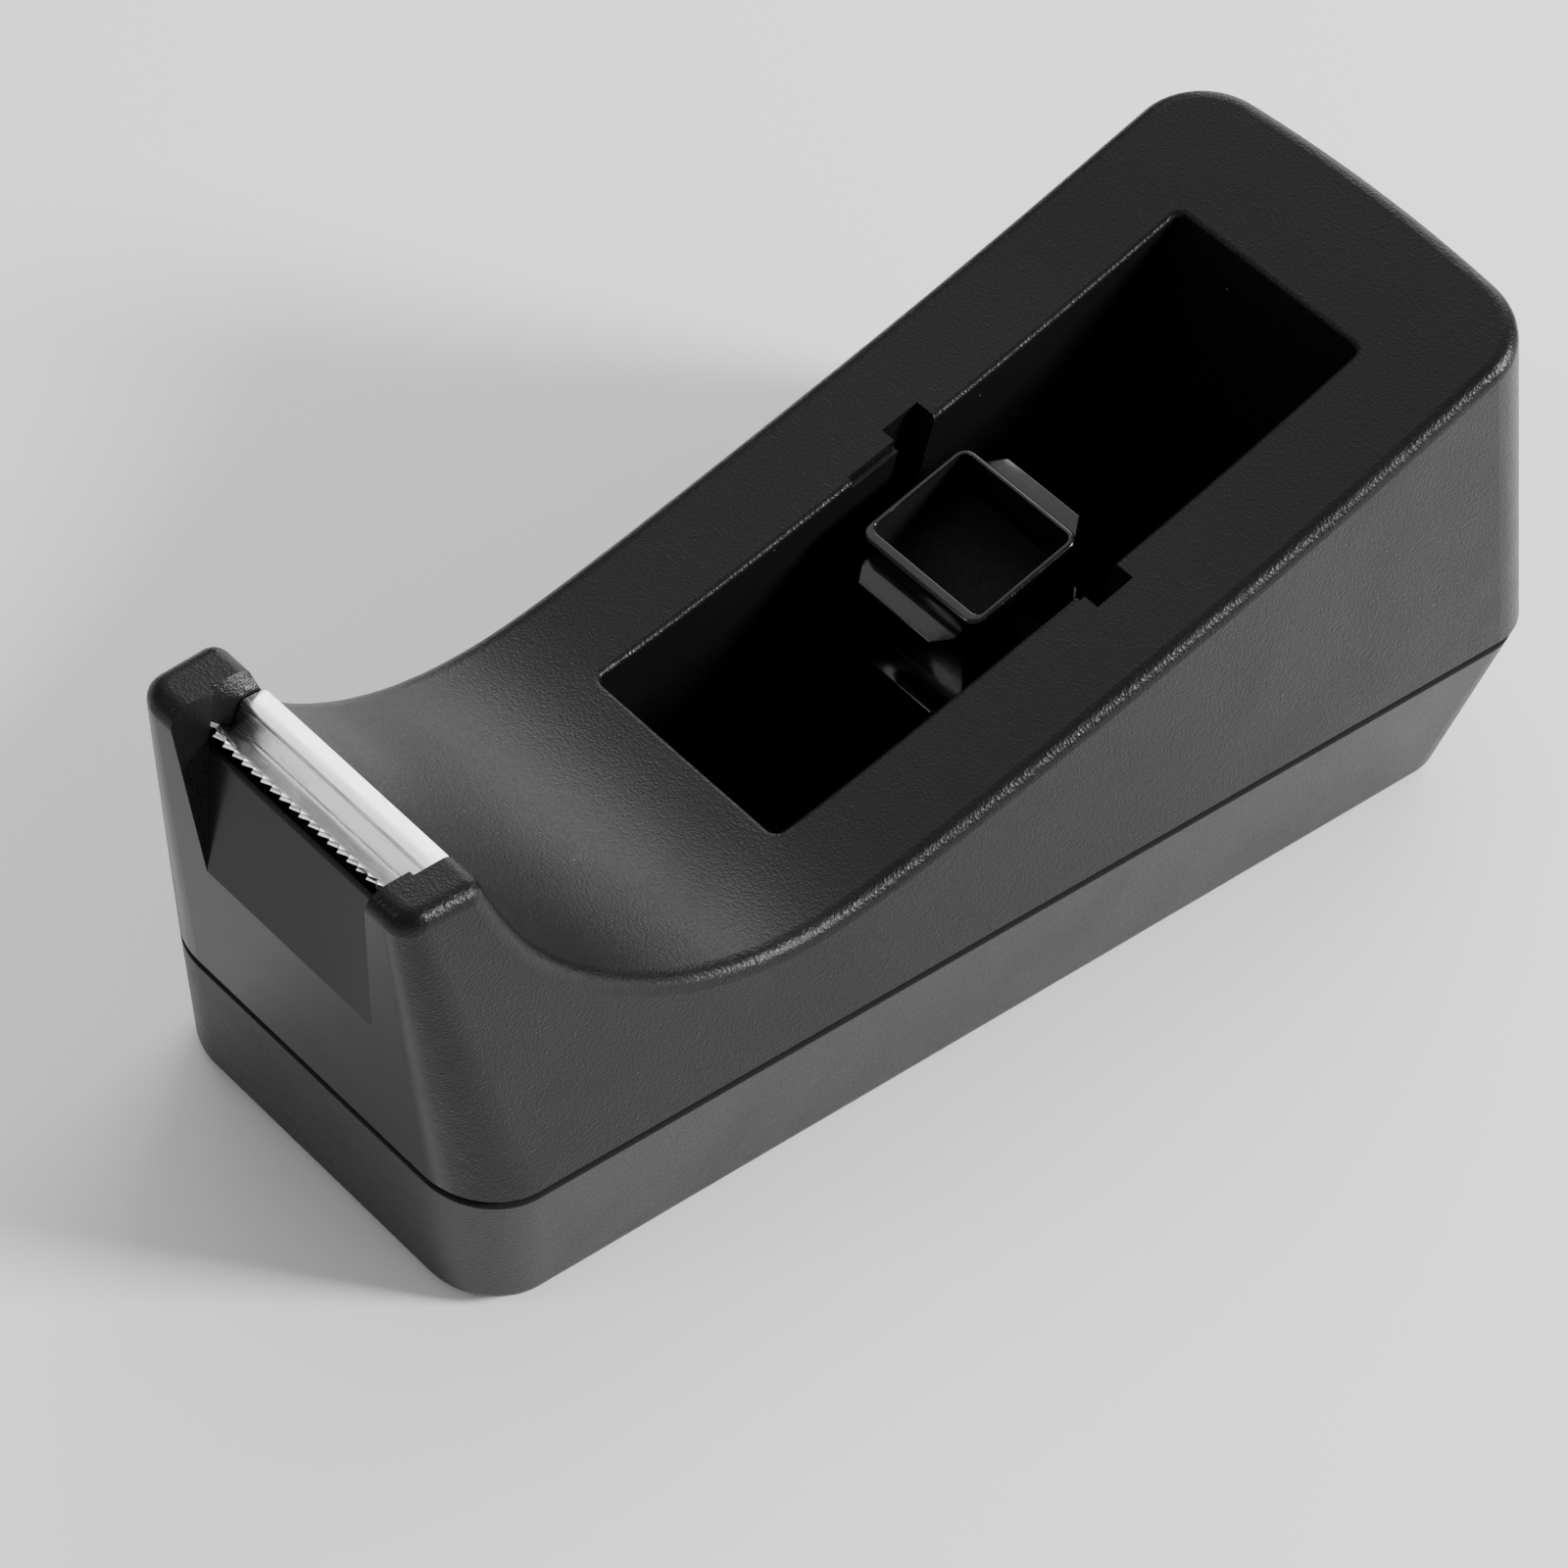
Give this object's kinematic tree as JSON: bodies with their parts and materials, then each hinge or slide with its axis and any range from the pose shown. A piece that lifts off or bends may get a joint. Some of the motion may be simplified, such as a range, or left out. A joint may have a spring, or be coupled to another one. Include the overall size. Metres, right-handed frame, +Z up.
{
  "type": "tape dispenser",
  "caption": "Desktop tape dispenser: weighted two-part body with a raised cutting nose, steel blade, open tape well and a lift-out hub turning on an axle.",
  "frame": {"origin": "on the desk, under the middle of the dispenser's outline", "axes": "+X to the right across the width, +Y towards the high back end, with the cutting nose towards -Y, +Z up"},
  "size_m": [0.0582, 0.1584, 0.061],
  "materials": {
    "shell_plastic": "fine spark texture, satin black",
    "tray_plastic": "fine spark texture, satin black",
    "blade_steel": "bright stamped sheet",
    "hub_plastic": "smooth gloss black",
    "ballast_iron": "raw cast",
    "screw_steel": "zinc plated",
    "pad_rubber": "closed-cell foam rubber"
  },
  "bodies": {
    "base": {"upper_shell": "shell_plastic", "base_tray": "tray_plastic", "cutter_blade": "blade_steel", "front_ballast": "ballast_iron", "rear_ballast": "ballast_iron", "base_screws": "screw_steel", "desk_pad": "pad_rubber"},
    "axle": {"hub_axle": "hub_plastic"},
    "hub": {"hub_core": "hub_plastic"}
  },
  "joints": [
    {"name": "hub_lift", "type": "slide", "parent": "base", "child": "axle", "axis": [0, 0, 1], "range_m": [0, 0.045]},
    {"name": "hub_spin", "type": "hinge", "parent": "axle", "child": "hub", "pos_m": [-0.0012, 0.01635, 0.0312], "axis": [1, 0, 0], "continuous": true}
  ]
}
